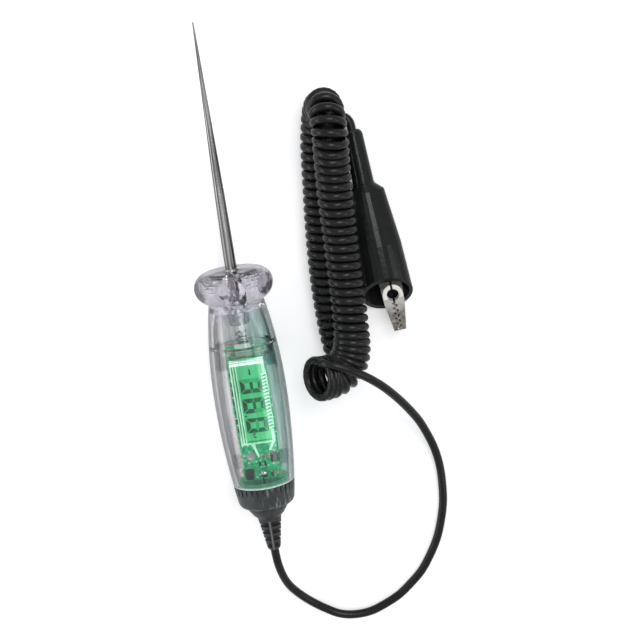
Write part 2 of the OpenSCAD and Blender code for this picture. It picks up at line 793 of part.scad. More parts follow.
// Route of the straight cord from the strain relief to the horn of the coil
lead_route = [
    [0, -123.2, 17], [0.4, -131, 15.8], [1.6, -139, 12.6], [3.8, -146, 8.8], [7.6, -152.4, 5.2],
    [12.6, -158, 3], [18.6, -162.7, 2.2], [25.4, -166.6, 2.1], [32.6, -168, 2.1], [40.4, -167.4, 2.1],
    [47.8, -164.7, 2.1], [55, -161, 2.1], [61.1, -156.2, 2.1], [67.4, -150.2, 2.1], [72.6, -142.7, 2.1],
    [77, -134.5, 2.1], [80, -125.8, 2.1], [82, -117.4, 2.1], [82.8, -109, 2.1], [82.8, -99, 2.4],
    [81.3, -89.2, 4], [78.6, -80.3, 7], [75.2, -71.6, 11.5], [70, -62.1, 18], [65, -54.4, 24],
    [60, -48, 29.2], [54.2, -42.2, 34], [48.8, -38.2, 36.6], [44.4, -35.7, 37.3], [40.6, -33.9, 37.3],
    [37.2, -33, 35.9], [34.9, -33, 33.3], [33.3, -33.2, 31],
];
// Route of the coil's axis: horn, upper leg, fold and lower leg
coil_route = [
    [31.9, -40.8, 31], [35.9, -41.4, 28.4], [39.8, -41.2, 26.8], [43.3, -39.8, 25.8], [46.1, -37.3, 25.1],
    [48.1, -34, 24.8], [49.3, -30.2, 24.7], [49.9, -26, 24.6], [50.3, -20, 24.3], [50.8, -5, 23.4], [51, 10, 23.2],
    [51.2, 25, 23.4], [51.4, 40, 24.2], [51.8, 50, 25.2], [52.2, 58, 26.8], [52.7, 65, 28.8],
    [52.8, 71, 28.6], [52.6, 76.2, 25.8], [52, 79, 21], [50.8, 78.6, 15.6], [49.4, 75.2, 11],
    [48.2, 70, 8.8], [46.8, 62, 8.3], [46, 54, 8.3], [45, 42, 8.3], [43.8, 28, 8.3], [42.8, 12, 8.3],
    [42.4, -2, 8.3], [42.6, -16, 8.3], [43.4, -28, 8.3], [44.6, -37.4, 8.3],
];
// Route of the clip's lead from the lower leg under the coil to the boot
clip_route = [
    [49, -37.5, 12.7], [51.2, -37.9, 10.4], [53.2, -37.9, 7.6], [54.6, -36.8, 4.8], [55.2, -34.2, 2.7],
    [55.3, -30, 2.1], [54.9, -22, 2.1], [53.8, -10, 2.1], [52.8, 4, 2.1], [52.8, 18, 2.1],
    [53.2, 32, 2.1], [54, 46, 2.1], [54.7, 56, 2.2], [54.9, 62, 2.6], [54.9, 66, 3.2],
    [55.3, 69, 3.8], [56.8, 71.3, 4.3], [58.8, 72, 4.7], [60.8, 71.3, 5], [62.3, 69, 5.2],
    [62.7, 65.6, 5.3],
];
horn_dir = [0.8, -0.12, -0.59];
horn_r = [9.6, 9.4, 9.2, 9, 8.8, 8.7, 8.5];
coil_r = coil_d / 2;

module cord_lead() {
    color([0.06, 0.06, 0.06])
        swept(smooth(lead_route, 2), [cord_d / 2], 8, [0, -1, 0]);
}

module coiled_cord() {
    color([0.06, 0.06, 0.06])
        swept(smooth(coil_route, 2), concat(horn_r, [coil_r]), 12, horn_dir);
}

module clip_lead() {
    color([0.06, 0.06, 0.06])
        swept(smooth(clip_route, 2), [cord_d / 2], 8, end_dir = clip_axis);
}

// Clip

clip_place = [70.2, 1, 7.8];
clip_turn = [-2.2, 0, 4.6];
clip_axis = [sin(clip_turn[2]), -cos(clip_turn[2]), -sin(clip_turn[0])];
boot_x = -2.3;
module on_clip() {
    translate(clip_place) rotate(clip_turn) children();
}

shoulder_y = boot_back - sleeve_len - 2.6;
mouth_y = -20;
mouth_slant = 45;
function oval(half_w, half_h, count) = [
    for (k = [0 : count - 1]) [half_w * cos(360 * k / count), half_h * sin(360 * k / count)]
];

// Thin oval slice across the clip
module slice(y, half_w, half_h) {
    translate([boot_x, y, 0])
        rotate([90, 0, 0])
            linear_extrude(0.02) polygon(oval(half_w, half_h, 32));
}

// Body of the boot as a tapering oval, set in by a wall
module boot_form(inset, front, back) {
    middle_y = 11;
    middle_half_h = (mouth_half_h + shoulder_half_h) / 2 + 0.2;
    hull() {
        slice(front, mouth_half_w - inset, mouth_half_h - inset);
        slice(middle_y, middle_half_w - inset, middle_half_h - inset);
        slice(back, shoulder_half_w - inset, shoulder_half_h - inset);
        slice(back + 3.4 - inset * 0.5, sleeve_r - inset * 0.5, sleeve_r - inset * 0.5);
    }
}

module clip_boot() {
    sleeve_y = boot_back - sleeve_len;
    color([0.05, 0.05, 0.05])
        on_clip()
            difference() {
                union() {
                    boot_form(0, mouth_y - 3, shoulder_y);
                    translate([boot_x, 0, 0])
                        rotate([-90, 0, 0])
                            rotate_extrude()
                                polygon([
                                    [0, shoulder_y], [sleeve_r + 0.2, shoulder_y], [sleeve_r + 0.2, sleeve_y + 1],
                                    [sleeve_r - 0.1, sleeve_y + 1.4], [sleeve_r - 0.5, boot_back - 2.4],
                                    [sleeve_r - 1, boot_back - 0.8], [sleeve_r - 2, boot_back], [0, boot_back],
                                ]);
                }
                boot_form(boot_wall, mouth_y - 4, shoulder_y - 1);
                translate([boot_x, shoulder_y - 2, 0])
                    rotate([-90, 0, 0]) cylinder(r = cord_d / 2 + 0.05, h = 60);
                translate([0, mouth_y, -mouth_half_h])
                    rotate([mouth_slant - 90, 0, 0])
                        translate([-40, -60, -60]) cube([80, 60, 120]);
            }
}

jaw_tip_w = 2.8;
jaw_base_w = 4.7;
jaw_root_w = 5.2;
ear_r = 3.2;
ear_y = -6;
eye_r = 2.7;
eye_y = -12.3;
tip_gap = 0.08;
bite_gap = 0.4;
inner_h = jaw_h - 2 * sheet - 0.2;
bite_y = -jaw_len + 0.8;
bite_end = bite_y + teeth * tooth_pitch;
// Biting edge of one jaw, as a zigzag beside the line between the jaws
function bite(side) = [
    for (i = [0 : teeth * 2])
        [(i % 2 == 0 ? -1 : 1) * tooth_h / 2 + side * bite_gap, bite_y + i * tooth_pitch / 2]
];

// One side plate of a jaw in front of its ears
module bite_plate(side) {
    linear_extrude(sheet)
        difference() {
            polygon(concat(
                [[side * jaw_tip_w, -jaw_len], [side * tip_gap, -jaw_len]],
                bite(side),
                [[side * bite_gap, bite_end + 0.4], [side * bite_gap, ear_y], [side * jaw_root_w, ear_y],
                 [side * jaw_base_w, bite_end]]
            ));
            translate([side * tip_gap, eye_y]) circle(r = eye_r, $fn = 32);
        }
}
// Raised rim round the rear of one jaw's half of the eye
module eye_rim(side, channel_h) {
    rim_w = 1.2;
    rim_h = 0.8;
    inner_r = eye_r + 0.7;
    for (z = [-channel_h / 2 - rim_h + eps, channel_h / 2 - eps])
        translate([0, eye_y, z])
            intersection() {
                difference() {
                    cylinder(r = inner_r + rim_w, h = rim_h);
                    translate([0, 0, -1]) cylinder(r = inner_r, h = rim_h + 2);
                }
                translate([side > 0 ? bite_gap : -6, -1.6, -1]) cube([6 - bite_gap * max(-side, 0), 7, 3]);
            }
}
// One ear of a jaw, round the pivot pin
module ear_plate(side, bore) {
    linear_extrude(sheet)
        difference() {
            union() {
                polygon([[0, -ear_r], [0, ear_r], [side * jaw_root_w, ear_r + 1], [side * jaw_root_w, ear_y - 1],
                         [side * (jaw_root_w - 1.5), ear_y - 1]]);
                circle(r = ear_r, $fn = 32);
            }
            circle(r = bore, $fn = 32);
        }
}

// Folded channel of one jaw with its teeth, its eye and its ears
module jaw_channel(side, ear_height, bore) {
    for (z = [-jaw_h / 2, jaw_h / 2 - sheet])
        translate([0, 0, z]) bite_plate(side);
    for (z = [-ear_height / 2, ear_height / 2 - sheet])
        translate([0, 0, z]) ear_plate(side, bore);
    eye_rim(side, jaw_h);
    translate([0, 0, -jaw_h / 2])
        linear_extrude(jaw_h)
            polygon([
                [side * jaw_tip_w, -jaw_len], [side * (jaw_tip_w - sheet), -jaw_len],
                [side * (jaw_base_w - sheet), bite_end], [side * (jaw_root_w - sheet), ear_y],
                [side * jaw_root_w, ear_y], [side * jaw_base_w, bite_end],
            ]);
    translate([0, 0, -ear_height / 2])
        linear_extrude(ear_height)
            polygon([
                [side * jaw_root_w, ear_y - 1], [side * (jaw_root_w - sheet), ear_y - 1],
                [side * (jaw_root_w - sheet), ear_r + 1], [side * jaw_root_w, ear_r + 1],
            ]);
}

crimp_r = 2.6;
crimp_y = 25;
crimp_len = 8;
module clip_fixed_jaw() {
    tail_h = 4.4;
    tail_bend = 15.5;
    color([0.75, 0.74, 0.72])
        on_clip()
            difference() {
                union() {
                    jaw_channel(1, jaw_h, pin_r);
                    translate([0, 0, -tail_h / 2])
                        linear_extrude(tail_h)
                            polygon([
                                [jaw_root_w, ear_r], [jaw_root_w - sheet, ear_r],
                                [jaw_root_w - sheet, tail_bend - 0.4], [boot_x + crimp_r - sheet, crimp_y - 0.4],
                                [boot_x + crimp_r - sheet, crimp_y + 2], [boot_x + crimp_r, crimp_y + 2],
                                [boot_x + crimp_r, crimp_y], [jaw_root_w, tail_bend],
                            ]);
                    translate([boot_x, crimp_y, 0])
                        rotate([-90, 0, 0]) cylinder(r = crimp_r, h = crimp_len);
                }
                translate([boot_x, crimp_y - 1, 0])
                    rotate([-90, 0, 0]) cylinder(r = crimp_r - sheet, h = crimp_len + 2);
            }
}

module clip_moving_jaw() {
    color([0.78, 0.77, 0.75])
        on_clip() {
            jaw_channel(-1, inner_h, pin_r + pin_gap);
            translate([0, 0, -inner_h / 2])
                linear_extrude(inner_h)
                    polygon([
                        [-jaw_root_w, ear_r], [-(jaw_root_w - sheet), ear_r],
                        [-(jaw_root_w + 0.4), lever_len], [-(jaw_root_w + 0.4 + sheet), lever_len],
                    ]);
        }
}

module clip_pivot_pin() {
    head = 0.6;
    color([0.8, 0.8, 0.8])
        on_clip()
            union() {
                translate([0, 0, -jaw_h / 2 - head]) cylinder(r = pin_r, h = jaw_h + 2 * head);
                for (z = [-jaw_h / 2 - head, jaw_h / 2])
                    translate([0, 0, z]) cylinder(r = pin_r + 0.7, h = head);
            }
}

clip_wire_r = 0.4;
function clip_spring_line(turns, steps) = let (radius = pin_r + 0.75, rise = 0.95) concat(
    [[-(jaw_root_w - sheet) + 0.5, 10, -turns * rise / 2]],
    [for (i = [0 : turns * steps]) let (a = 180 + 360 * i / steps)
        [radius * cos(a), radius * sin(a), rise * (i / steps - turns / 2)]],
    [[jaw_root_w - sheet - 0.5, 10, turns * rise / 2]]
);

module clip_spring() {
    color([0.7, 0.7, 0.7])
        on_clip() swept(clip_spring_line(2.5, 12), [clip_wire_r], 6);
}

// The end of the clip's lead inside the sleeve and its bared conductor in the crimp
module clip_wire() {
    color([0.08, 0.08, 0.08])
        on_clip()
            translate([boot_x, 0, 0])
                rotate([-90, 0, 0]) {
                    translate([0, 0, crimp_y + crimp_len + 0.3])
                        cylinder(r = cord_d / 2, h = boot_back - crimp_y - crimp_len - 0.5);
                    translate([0, 0, crimp_y + 0.5]) cylinder(r = crimp_r - sheet - 0.02, h = crimp_len);
                }
}

probe_needle();
probe_insert();
nose_shell();
barrel_shell();
end_cap();
strain_relief();
contact_spring();
spring_cup();
circuit_board();
display_panel();
display_frame();
display_glass();
display_digits();
display_ghosts();
display_pins();
panel_legs();
indicator_leds();
controller_chip();
regulator_chip();
ring_capacitor();
chip_resistors();
chip_capacitors();
solder_joint();
cord_tail();
cord_lead();
coiled_cord();
clip_lead();
clip_boot();
clip_wire();
clip_fixed_jaw();
clip_moving_jaw();
clip_pivot_pin();
clip_spring();
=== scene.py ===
"""A digital circuit tester on a pale table, with its coiled lead and its sprung clip.

Lengths are in millimetres until they reach the scene, in the part's own frame: +Y towards
the probe's point and +Z up from the table. The studio's are in metres. The angles among
the values below are in degrees, and those in the functions are in radians.
"""
import math

import bpy
from mathutils import Euler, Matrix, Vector


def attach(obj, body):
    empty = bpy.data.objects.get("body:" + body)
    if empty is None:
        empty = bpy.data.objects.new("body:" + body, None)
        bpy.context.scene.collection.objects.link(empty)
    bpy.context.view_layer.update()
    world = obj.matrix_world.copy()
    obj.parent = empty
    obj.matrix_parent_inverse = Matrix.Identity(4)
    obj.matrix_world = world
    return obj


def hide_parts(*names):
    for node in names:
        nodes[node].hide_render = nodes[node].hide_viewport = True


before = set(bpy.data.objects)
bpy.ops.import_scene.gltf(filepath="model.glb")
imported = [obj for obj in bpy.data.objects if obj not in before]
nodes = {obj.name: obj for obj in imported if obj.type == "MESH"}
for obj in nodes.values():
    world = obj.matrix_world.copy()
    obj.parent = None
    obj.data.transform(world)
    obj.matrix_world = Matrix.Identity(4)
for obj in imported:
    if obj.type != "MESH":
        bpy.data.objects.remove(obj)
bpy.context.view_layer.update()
scene = bpy.context.scene
scene.view_settings.view_transform = "Standard"
MM = 0.001
BODY = "tester"

# Camera

CAMERA_PLACE = (57.8, 133.7, 703.4)
CAMERA_TILT = -12.5
CAMERA_ROLL = -8.0
CAMERA_LENS = 86.6
SENSOR_WIDTH = 36

# Cord, and its coil that starts as a flared horn of closer turns

CORD_R = 2.0
CORD_SIDES = 16
COIL_R = 8.25
HORN_R = 10.5
TURN_PITCH = 4.05
HORN_PITCH = 2.9

# Lengths over which the horn narrows, takes up the route's heading, stays tight and loosens
HORN_LEN = 36.0
HEADING_LEN = 12.0
TIGHT_LEN = 28.0
EASE_LEN = 8.0

# Points along each turn, and steps from point to point of the routes
TURN_POINTS = 20
ROUTE_STEPS = 5
AXIS_STEPS = 12
AXIS_SPACING = 0.2

# Directions in which the horn opens, in which its first turn starts and in which the last one ends
HORN_AXIS = Vector((0.8, -0.12, -0.59)).normalized()
HORN_TOP = Vector((0.1, 0.99, -0.07))
COIL_LEAVES = Vector((1, 0, 1)).normalized()

# From the handle to the coil, where the last point gives way to the coil's first
LEAD_ROUTE = [
    (0, -123.2, 17), (0.4, -131, 15.8), (1.6, -139, 12.6), (3.8, -146, 8.8), (7.6, -152.4, 5.2),
    (12.6, -158, 3), (18.6, -162.7, 2.2), (25.4, -166.6, 2.1), (32.6, -168, 2.1), (40.4, -167.4, 2.1),
    (47.8, -164.7, 2.1), (55, -161, 2.1), (61.1, -156.2, 2.1), (67.4, -150.2, 2.1), (72.6, -142.7, 2.1),
    (77, -134.5, 2.1), (80, -125.8, 2.1), (82, -117.4, 2.1), (82.8, -109, 2.1), (82.8, -99, 2.4),
    (81.3, -89.2, 4), (78.6, -80.3, 7), (75.2, -71.6, 11.5), (70, -62.1, 18), (65, -54.4, 24),
    (60, -48, 29.2), (54.2, -42.2, 34), (48.8, -38.2, 36.6), (44.4, -35.7, 37.3), (40.6, -33.9, 37.3),
    (37.2, -33, 35.9), (34.9, -33, 33.3), (33.3, -33.2, 31),
]

# Axis of the coil, along its upper leg and back along the lower one
COIL_ROUTE = [
    (31.9, -40.8, 31), (35.9, -41.4, 28.4), (39.8, -41.2, 26.8), (43.3, -39.8, 25.8),
    (46.1, -37.3, 25.1), (48.1, -34, 24.8), (49.3, -30.2, 24.7), (49.9, -26, 24.6),
    (50.3, -20, 24.3), (50.8, -5, 23.4), (51, 10, 23.2), (51.2, 25, 23.4), (51.4, 40, 24.2),
    (51.8, 50, 25.2), (52.2, 58, 26.8), (52.7, 65, 28.8), (52.8, 71, 28.6), (52.6, 76.2, 25.8),
    (52, 79, 21), (50.8, 78.6, 15.6), (49.4, 75.2, 11), (48.2, 70, 8.8), (46.8, 62, 8.3),
    (46, 54, 8.3), (45, 42, 8.3), (43.8, 28, 8.3), (42.8, 12, 8.3), (42.4, -2, 8.3),
    (42.6, -16, 8.3), (43.4, -28, 8.3), (44.6, -37.4, 8.3),
]

# From the coil to the clip, where the first point gives way to the coil's last
CLIP_ROUTE = [
    (49, -37.5, 12.7), (51.2, -37.9, 10.4), (53.2, -37.9, 7.6), (54.6, -36.8, 4.8), (55.2, -34.2, 2.7),
    (55.3, -30, 2.1), (54.9, -22, 2.1), (53.8, -10, 2.1), (52.8, 4, 2.1), (52.8, 18, 2.1),
    (53.2, 32, 2.1), (54, 46, 2.1), (54.7, 56, 2.2), (54.9, 62, 2.6), (54.9, 66, 3.2),
    (55.3, 69, 3.8), (56.8, 71.3, 4.3), (58.8, 72, 4.7), (60.8, 71.3, 5), (62.3, 69, 5.2),
    (62.7, 65.6, 5.3),
]

# Places on the handle that pieces and patterns follow. A pair is where a change starts and ends

AXIS_H = 17
GUARD_Y = (-12, -4)
GUARD_END_X = (12, 14)
VIOLET_Y = (-16, -4)
GREEN_X = (-8, 10)
GREEN_Y = (-18, 2)
SLEEVE_Y = (-17, -16)
SEAM_Y = -23.5
SEAM_REACH = 0.3
BARREL_Y = -89.1
# Length of the rear rim's painted glow
RIM_LEN = 0.7
CAP_GLOW_Y = (-98, -88)
CAP_INSIDE_R = 10.9
RELIEF_Y = -108.0
SPINE_HIGHLIGHT_X = (0.2, 0.45)

# Places along the relief's core, each with its radius
RELIEF_CORE = ((-107, 5.1), (-122, 2.8))
RELIEF_CORE_SIDES = 32

# Places on the display

FRAME_LOW = 16.9
FRAME_HIGH = 21.2
FRONT_BAR_LOW = 21.0
FRONT_BAR_Y = -32.3
DIGIT_X = (-4.0, 7.0)
GLASS_Y = (-70.0, -30.0)

# The clip's own frame on the table, and places in it

CLIP_PLACE = (70.2, 1, 7.8)
CLIP_TURN = (-2.2, 0, 4.6)
TOOTH_PITCH = 2.4
TOOTH_H = 2.0
BITE_START = -28.2
BITE_END = BITE_START + 5 * TOOTH_PITCH
EYE_Y = -12.3
EYE_RIM_R = 4.7
EYE_RIM_FRONT = EYE_Y - 1.7
# Painted highlight before the eye, and painted shade in the boot and along the bite
HIGHLIGHT_Y = (-22, -16)
BOOT_SHADE_Y = (EYE_Y + 1, EYE_Y + 4)
BITE_SHADE_REACH = (0.35, 0.65)

# Patterns

WHITE = (1, 1, 1)
BLACK = (0, 0, 0)
NOISE_LOW = 0.3
NOISE_HIGH = 0.7
NOISE_ROUGHNESS = 0.55
FINE_RATIO = 4.0
SQUARE_ON = 0.97

# Studio

FLOOR_SIZE = 6.0
FLOOR_DROP = 0.00005
FLOOR_LIFT = 0.33
WORLD_STRENGTH = 0.65

# Name, place, what it points at, size and power
SOFTBOXES = [
    ("top_box", (0.25, 0.35, 1.0), (0.02, -0.02, 0), (0.45, 0.7), 5.0),
    ("left_strip", (-0.8, 0.0, 0.3), (0.0, -0.02, 0), (1.0, 0.3), 3.0),
    ("right_fill", (0.9, -0.3, 0.7), (0.0, -0.02, 0), (0.6, 0.6), 2.0),
]


def link(thing):
    scene.collection.objects.link(thing)
    return thing


def add_camera():
    data = bpy.data.cameras.new("camera")
    data.lens = CAMERA_LENS
    data.sensor_width = SENSOR_WIDTH
    camera = link(bpy.data.objects.new("camera", data))
    camera.location = Vector(CAMERA_PLACE) * MM
    camera.rotation_euler = Euler((math.radians(CAMERA_TILT), 0, math.radians(CAMERA_ROLL)))
    scene.camera = camera


def spline(route, steps):
    """Catmull-Rom curve through the route's points, in a number of steps from each to the next."""
    points = [Vector(p) for p in route]
    last = len(points) - 1
    line = []
    for i in range(last):
        a, b = points[max(i - 1, 0)], points[i]
        c, d = points[i + 1], points[min(i + 2, last)]
        for j in range(steps):
            t = j / steps
            line.append((2 * b + (c - a) * t + (2 * a - 5 * b + 4 * c - d) * t ** 2
                         + (3 * b - a - 3 * c + d) * t ** 3) / 2)
    return line + [points[last]]


def resampled(line, spacing):
    """The same line with its points an equal distance apart, and its length."""
    lengths = [0.0]
    for a, b in zip(line, line[1:]):
        lengths.append(lengths[-1] + (b - a).length)
    count = max(2, round(lengths[-1] / spacing))
    out = []
    k = 0
    for i in range(count + 1):
        s = lengths[-1] * i / count
        while k < len(line) - 2 and lengths[k + 1] < s:
            k += 1
        t = (s - lengths[k]) / (lengths[k + 1] - lengths[k])
        out.append(line[k].lerp(line[k + 1], min(max(t, 0), 1)))
    return out, lengths[-1]


def smoothstep(t):
    t = min(max(t, 0.0), 1.0)
    return t * t * (3 - 2 * t)


def coil_frames(axis, spacing):
    """Heading of the coil at each point of its axis, and a side that turns as little as it can."""
    last = len(axis) - 1
    headings = []
    sides = []
    side = HORN_TOP
    for i in range(len(axis)):
        onward = (axis[min(i + 1, last)] - axis[max(i - 1, 0)]).normalized()
        heading = HORN_AXIS.lerp(onward, smoothstep(i * spacing / HEADING_LEN)).normalized()
        side = (side - side.dot(heading) * heading).normalized()
        headings.append(heading)
        sides.append(side)
    return headings, sides


def turns_so_far(count, spacing):
    """Turns from the coil's start to each point of its axis, closer together in the horn."""
    turned = [0.0]
    for i in range(count - 1):
        loose = smoothstep((i * spacing - TIGHT_LEN) / EASE_LEN)
        turned.append(turned[-1] + spacing / (HORN_PITCH + (TURN_PITCH - HORN_PITCH) * loose))
    return turned


def coil_line():
    """The cord's centre line from the horn's open end to the end of the coil's lower leg."""
    axis, length = resampled(spline(COIL_ROUTE, AXIS_STEPS), AXIS_SPACING)
    last = len(axis) - 1
    spacing = length / last
    headings, sides = coil_frames(axis, spacing)
    turned = turns_so_far(len(axis), spacing)
    # The last turn ends on the side where the cord leaves the coil
    end_across = -headings[last].cross(sides[last])
    leave = math.atan2(end_across.dot(COIL_LEAVES), sides[last].dot(COIL_LEAVES))
    sweep = math.tau * round(turned[-1] - leave / math.tau) + leave
    count = round(sweep / math.tau * TURN_POINTS)
    out = []
    i = 0
    for k in range(count + 1):
        goal = turned[-1] * k / count
        while i < last - 1 and turned[i + 1] < goal:
            i += 1
        t = min((goal - turned[i]) / (turned[i + 1] - turned[i]), 1.0)
        centre = axis[i].lerp(axis[i + 1], t)
        heading = headings[i].lerp(headings[i + 1], t).normalized()
        side = sides[i].lerp(sides[i + 1], t).normalized()
        angle = sweep * k / count
        outer = HORN_R + (COIL_R - HORN_R) * smoothstep((i + t) * spacing / HORN_LEN)
        outward = math.cos(angle) * side - math.sin(angle) * heading.cross(side)
        out.append(centre + (outer - CORD_R) * outward)
    return out


def curve_object(name, line, radii, sides):
    """Round rod along a line. Its radii are the points' own, so its bounds are true as well."""
    data = bpy.data.curves.new(name, "CURVE")
    data.dimensions = "3D"
    data.bevel_depth = 1.0
    data.bevel_resolution = sides // 4 - 1
    data.use_fill_caps = True
    path = data.splines.new("POLY")
    path.points.add(len(line) - 1)
    path.points.foreach_set("co", [v for p in line for v in (*(p * MM), 1.0)])
    path.points.foreach_set("radius", [radius * MM for radius in radii])
    return link(bpy.data.objects.new(name, data))


def add_cord():
    """The whole lead as one cord, from the handle through the coil to the clip."""
    coil = coil_line()
    lead = spline(LEAD_ROUTE[:-1] + [tuple(coil[0])], ROUTE_STEPS)
    tail = spline([tuple(coil[-1])] + CLIP_ROUTE[1:], ROUTE_STEPS)
    line = lead + coil[1:] + tail[1:]
    cord = curve_object("cord", line, [CORD_R] * len(line), CORD_SIDES)
    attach(cord, BODY)
    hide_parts("cord_lead", "coiled_cord", "clip_lead")
    return cord


def add_relief_core():
    """Rubber just below the strain relief's surface, which its slots open onto."""
    line = [Vector((0, y, AXIS_H)) for y, radius in RELIEF_CORE]
    core = curve_object("relief_core", line, [radius for y, radius in RELIEF_CORE], RELIEF_CORE_SIDES)
    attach(core, BODY)
    return core


def grey(level):
    return (level, level, level)


class Surface:
    """A material with one main shader, and the nodes that its patterns are made of.

    Keyword names are the shader's own inputs, with underscores for their spaces.
    """

    def __init__(self, name, **constants):
        self.material = bpy.data.materials.new(name)
        self.material.use_nodes = True
        self.tree = self.material.node_tree
        self.shader = self.tree.nodes["Principled BSDF"]
        self.plug(**constants)

    def add(self, kind):
        return self.tree.nodes.new("ShaderNode" + kind)

    def join(self, value, socket):
        """Feeds a socket with another socket, a number, or three numbers as a colour or a place."""
        if isinstance(value, (int, float)):
            socket.default_value = value
        elif isinstance(value, tuple):
            socket.default_value = (*value, 1.0) if socket.type == "RGBA" else value
        else:
            self.tree.links.new(value, socket)

    def plug(self, **values):
        for key, value in values.items():
            self.join(value, self.shader.inputs[key.replace("_", " ")])

    def place(self, stretch=(1, 1, 1)):
        """Object coordinates in millimetres, stretched along each axis."""
        mapping = self.add("Mapping")
        mapping.inputs["Scale"].default_value = [v / MM for v in stretch]
        self.join(self.add("TexCoord").outputs["Object"], mapping.inputs["Vector"])
        return mapping.outputs["Vector"]

    def axes(self, place):
        """The three coordinates of a place: across, along and up."""
        split = self.add("SeparateXYZ")
        self.join(place, split.inputs["Vector"])
        return split.outputs

    def point(self, across, along, up):
        """The place that has these coordinates."""
        combined = self.add("CombineXYZ")
        for socket, value in zip(combined.inputs, (across, along, up)):
            self.join(value, socket)
        return combined.outputs["Vector"]

    def distance(self, first, second):
        """Distance between two places."""
        node = self.add("VectorMath")
        node.operation = "DISTANCE"
        self.join(first, node.inputs[0])
        self.join(second, node.inputs[1])
        return node.outputs["Value"]

    def math(self, operation, a, b=None):
        """Result of one sum, whose terms are sockets or numbers."""
        node = self.add("Math")
        node.operation = operation
        for socket, term in zip(node.inputs, (a, b)):
            if term is not None:
                self.join(term, socket)
        return node.outputs["Value"]

    def times(self, a, b):
        return self.math("MULTIPLY", a, b)

    def below(self, value, limit):
        """One where the value is below the limit, and nought elsewhere."""
        return self.math("LESS_THAN", value, limit)

    def above(self, value, limit):
        """One where the value is above the limit, and nought elsewhere."""
        return self.math("GREATER_THAN", value, limit)

    def gap(self, value, middle):
        """How far the value is from the middle, to either side."""
        return self.math("ABSOLUTE", self.math("SUBTRACT", value, middle))

    def rise(self, value, start, end, low=0.0, high=1.0):
        """Goes from low to high while the value goes from start to end."""
        node = self.add("MapRange")
        node.inputs["From Min"].default_value = start
        node.inputs["From Max"].default_value = end
        node.inputs["To Min"].default_value = low
        node.inputs["To Max"].default_value = high
        self.join(value, node.inputs["Value"])
        return node.outputs["Result"]

    def noise(self, place, scale, detail=4.0):
        """Cloudy noise with a scale in cycles per millimetre."""
        node = self.add("TexNoise")
        node.inputs["Scale"].default_value = scale
        node.inputs["Detail"].default_value = detail
        node.inputs["Roughness"].default_value = NOISE_ROUGHNESS
        self.join(place, node.inputs["Vector"])
        return node.outputs["Fac"]

    def cells(self, place, scale, feature="F1", distance="EUCLIDEAN"):
        """Outputs of a pattern of cells with a scale in cells per millimetre."""
        node = self.add("TexVoronoi")
        node.feature = feature
        node.distance = distance
        node.inputs["Scale"].default_value = scale
        self.join(place, node.inputs["Vector"])
        return node.outputs

    def vary(self, pattern, low, high):
        """Number from low to high that follows a noise."""
        return self.rise(pattern, NOISE_LOW, NOISE_HIGH, low, high)

    def tones(self, pattern, dark, light):
        """Colour from dark to light that follows a noise."""
        return self.ramp(pattern, (NOISE_LOW, dark), (NOISE_HIGH, light))

    def ramp(self, value, *stops):
        """Colour that follows a value. The stops are pairs of a value and a colour."""
        node = self.add("ValToRGB")
        elements = node.color_ramp.elements
        while len(elements) < len(stops):
            elements.new(0.5)
        for element, (position, colour) in zip(elements, stops):
            element.position = position
            element.color = (*colour, 1.0)
        self.join(value, node.inputs["Fac"])
        return node.outputs["Color"]

    def mix(self, factor, first, second, blend="MIX"):
        """Mixture of two colours, whose sockets are the mixing node's seventh and eighth."""
        node = self.add("Mix")
        node.data_type = "RGBA"
        node.blend_type = blend
        self.join(factor, node.inputs["Factor"])
        self.join(first, node.inputs[6])
        self.join(second, node.inputs[7])
        return node.outputs[2]

    def facing(self):
        """Nought where the surface is seen squarely, and one where it is seen edge on."""
        return self.add("LayerWeight").outputs["Facing"]

    def rough(self, pattern, roughness, spread=0.06):
        """Roughness that a noise varies by the spread to either side."""
        self.plug(Roughness=self.vary(pattern, roughness - spread, roughness + spread))

    def bump(self, height, depth, strength=1.0):
        """Relief with a depth in millimetres."""
        node = self.add("Bump")
        node.inputs["Strength"].default_value = strength
        node.inputs["Distance"].default_value = depth * MM
        self.join(height, node.inputs["Height"])
        self.plug(Normal=node.outputs["Normal"])

    def transparent(self, colour=WHITE):
        node = self.add("BsdfTransparent")
        self.join(colour, node.inputs["Color"])
        return node.outputs["BSDF"]

    def blend(self, factor, first, second):
        """Mixture of two shaders."""
        node = self.add("MixShader")
        self.join(factor, node.inputs["Fac"])
        self.join(first, node.inputs[1])
        self.join(second, node.inputs[2])
        return node.outputs["Shader"]

    def show(self, shader):
        """Shows another shader than the main one."""
        self.join(shader, self.tree.nodes["Material Output"].inputs["Surface"])


def patterned(name, dark, light, roughness, scale, depth, stretch=(1, 1, 1), spread=0.06, **constants):
    """Surface whose colour, gloss and relief vary together, with a scale in cycles per millimetre."""
    made = Surface(name, **constants)
    place = made.place(stretch)
    fine = made.noise(place, scale * FINE_RATIO, 2.0)
    made.plug(Base_Color=made.tones(made.noise(place, scale), dark, light))
    made.rough(fine, roughness, spread)
    made.bump(fine, depth)
    return made


def clear_tint(made, across, along):
    """Violet in the guard and grey behind it, and greener to one side."""
    greener = made.times(made.rise(across, *GREEN_X), made.rise(along, *GREEN_Y, 1.0, 0.0))
    tint = made.mix(made.rise(along, *VIOLET_Y, 1.0, 0.0), (0.68, 0.65, 0.72), (0.76, 0.76, 0.77))
    return made.mix(greener, tint, (0.70, 0.86, 0.82))


